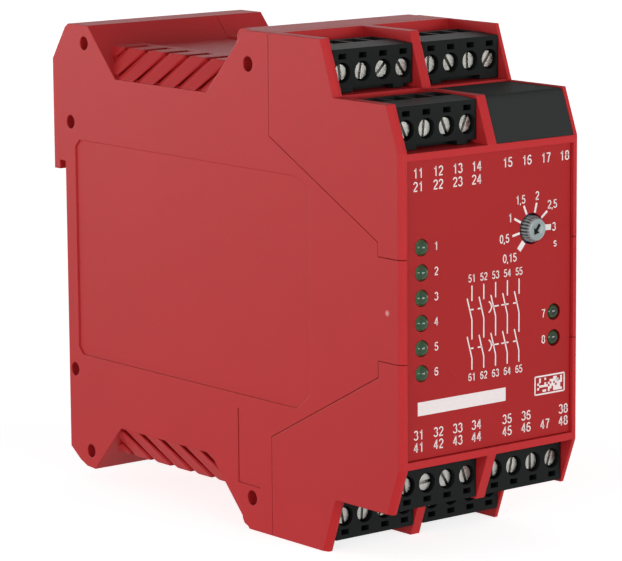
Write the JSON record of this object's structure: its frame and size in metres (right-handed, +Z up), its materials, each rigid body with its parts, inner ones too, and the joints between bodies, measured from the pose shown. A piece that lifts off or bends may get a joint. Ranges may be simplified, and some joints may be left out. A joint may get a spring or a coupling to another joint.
{
  "type": "safety relay",
  "caption": "Red rail-mounted safety relay housing with stepped tiers of black pluggable screw terminals, a domed-light label front, a ribbed time knob and louvred vents.",
  "frame": {"origin": "centre of the rear plane that seats on a 35 mm top hat rail, mid width and mid height of the rail", "axes": "+X to the right across the width, +Y rearwards out of the rail seat (label faces -Y), +Z up"},
  "size_m": [0.045, 0.1129, 0.099],
  "materials": {
    "red_housing": "fine spark texture, satin",
    "label_red": "printed film, satin",
    "black_plastic": "fine texture",
    "plated_screw": "zinc plated",
    "clamp_brass": "nickel flashed brass",
    "tinned_pin": "tinned",
    "green_lens": "tinted clear resin, unlit",
    "grey_knob": "moulded",
    "blue_body": "moulded",
    "board_laminate": "solder resist",
    "relay_case": "moulded",
    "core_steel": "laminated, varnished",
    "copper_wire": "enamelled",
    "can_sleeve": "shrink sleeve",
    "spring_steel": "bright"
  },
  "bodies": {
    "housing": {"base_housing_left_shell": "red_housing", "base_housing_right_shell": "red_housing", "blank_cover": "black_plastic", "board_links": "black_plastic", "bottom_front_left_header": "black_plastic", "bottom_front_right_header": "black_plastic", "bottom_rear_left_header": "black_plastic", "bottom_rear_right_header": "black_plastic", "capacitors": "can_sleeve", "front_board": "board_laminate", "front_housing": "red_housing", "header_pins": "tinned_pin", "label_plate": "label_red", "left_side_board": "board_laminate", "left_status_lights": "green_lens", "rail_catch_spring": "spring_steel", "relay_1": "relay_case", "relay_2": "relay_case", "relay_3": "relay_case", "relay_4": "relay_case", "right_side_board": "board_laminate", "right_status_lights": "green_lens", "time_potentiometer": "blue_body", "top_front_left_header": "black_plastic", "top_rear_left_header": "black_plastic", "top_rear_right_header": "black_plastic", "transformer_coil": "copper_wire", "transformer_core": "core_steel"},
    "bottom_front_left_plug_block": {"bottom_front_left_plug": "black_plastic", "bottom_front_left_plug_screws": "plated_screw", "bottom_front_left_plug_clamps": "clamp_brass"},
    "bottom_front_right_plug_block": {"bottom_front_right_plug": "black_plastic", "bottom_front_right_plug_screws": "plated_screw", "bottom_front_right_plug_clamps": "clamp_brass"},
    "bottom_rear_left_plug_block": {"bottom_rear_left_plug": "black_plastic", "bottom_rear_left_plug_screws": "plated_screw", "bottom_rear_left_plug_clamps": "clamp_brass"},
    "bottom_rear_right_plug_block": {"bottom_rear_right_plug": "black_plastic", "bottom_rear_right_plug_screws": "plated_screw", "bottom_rear_right_plug_clamps": "clamp_brass"},
    "top_front_left_plug_block": {"top_front_left_plug": "black_plastic", "top_front_left_plug_screws": "plated_screw", "top_front_left_plug_clamps": "clamp_brass"},
    "top_rear_left_plug_block": {"top_rear_left_plug": "black_plastic", "top_rear_left_plug_screws": "plated_screw", "top_rear_left_plug_clamps": "clamp_brass"},
    "top_rear_right_plug_block": {"top_rear_right_plug": "black_plastic", "top_rear_right_plug_screws": "plated_screw", "top_rear_right_plug_clamps": "clamp_brass"},
    "knob": {"time_knob": "grey_knob"},
    "catch": {"rail_catch": "black_plastic"}
  },
  "joints": [
    {"name": "bottom_front_left_plug_pull", "type": "slide", "parent": "housing", "child": "bottom_front_left_plug_block", "axis": [0, -1, 0], "range_m": [0, 0.016]},
    {"name": "bottom_front_right_plug_pull", "type": "slide", "parent": "housing", "child": "bottom_front_right_plug_block", "axis": [0, -1, 0], "range_m": [0, 0.016]},
    {"name": "bottom_rear_left_plug_pull", "type": "slide", "parent": "housing", "child": "bottom_rear_left_plug_block", "axis": [0, -1, 0], "range_m": [0, 0.016]},
    {"name": "bottom_rear_right_plug_pull", "type": "slide", "parent": "housing", "child": "bottom_rear_right_plug_block", "axis": [0, -1, 0], "range_m": [0, 0.016]},
    {"name": "top_front_left_plug_pull", "type": "slide", "parent": "housing", "child": "top_front_left_plug_block", "axis": [0, -1, 0], "range_m": [0, 0.016]},
    {"name": "top_rear_left_plug_pull", "type": "slide", "parent": "housing", "child": "top_rear_left_plug_block", "axis": [0, -1, 0], "range_m": [0, 0.016]},
    {"name": "top_rear_right_plug_pull", "type": "slide", "parent": "housing", "child": "top_rear_right_plug_block", "axis": [0, -1, 0], "range_m": [0, 0.016]},
    {"name": "knob_turn", "type": "hinge", "parent": "housing", "child": "knob", "pos_m": [0.01075, -0.106, 0.0126], "axis": [0, 1, 0], "range_deg": [0, 231.5]},
    {"name": "catch_slide", "type": "slide", "parent": "housing", "child": "catch", "axis": [0, 0, -1], "range_m": [0, 0.003], "stiffness_N_per_m": 1500, "springref_m": -0.001, "deforming": ["rail_catch_spring"]}
  ]
}
